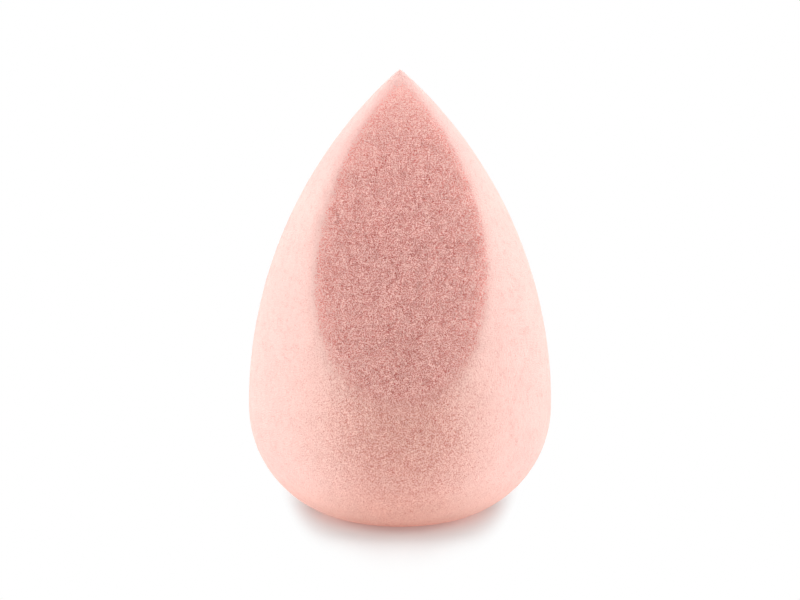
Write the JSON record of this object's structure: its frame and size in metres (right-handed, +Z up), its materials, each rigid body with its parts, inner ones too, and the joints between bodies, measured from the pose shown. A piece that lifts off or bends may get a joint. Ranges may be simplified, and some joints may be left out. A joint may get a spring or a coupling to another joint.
{
  "type": "makeup sponge",
  "caption": "Teardrop foam makeup sponge with a pointed tip, a slanted sliced face with a soft rim, and a small flat foot to stand on.",
  "frame": {"origin": "middle of the flat foot, on the upright axis of the teardrop", "axes": "+Z up from the foot to the tip, -Y towards the sliced face, +X to its right seen from the front"},
  "size_m": [0.0402, 0.0402, 0.06],
  "materials": {
    "skin_foam": "soft matt foam with very fine closed-looking cells, pale peach pink",
    "core_foam": "matt open-celled foam, sliced, rosier and coarser than the skin"
  },
  "bodies": {
    "root": {"moulded_skin": "skin_foam", "foam_core": "core_foam"}
  },
  "joints": []
}
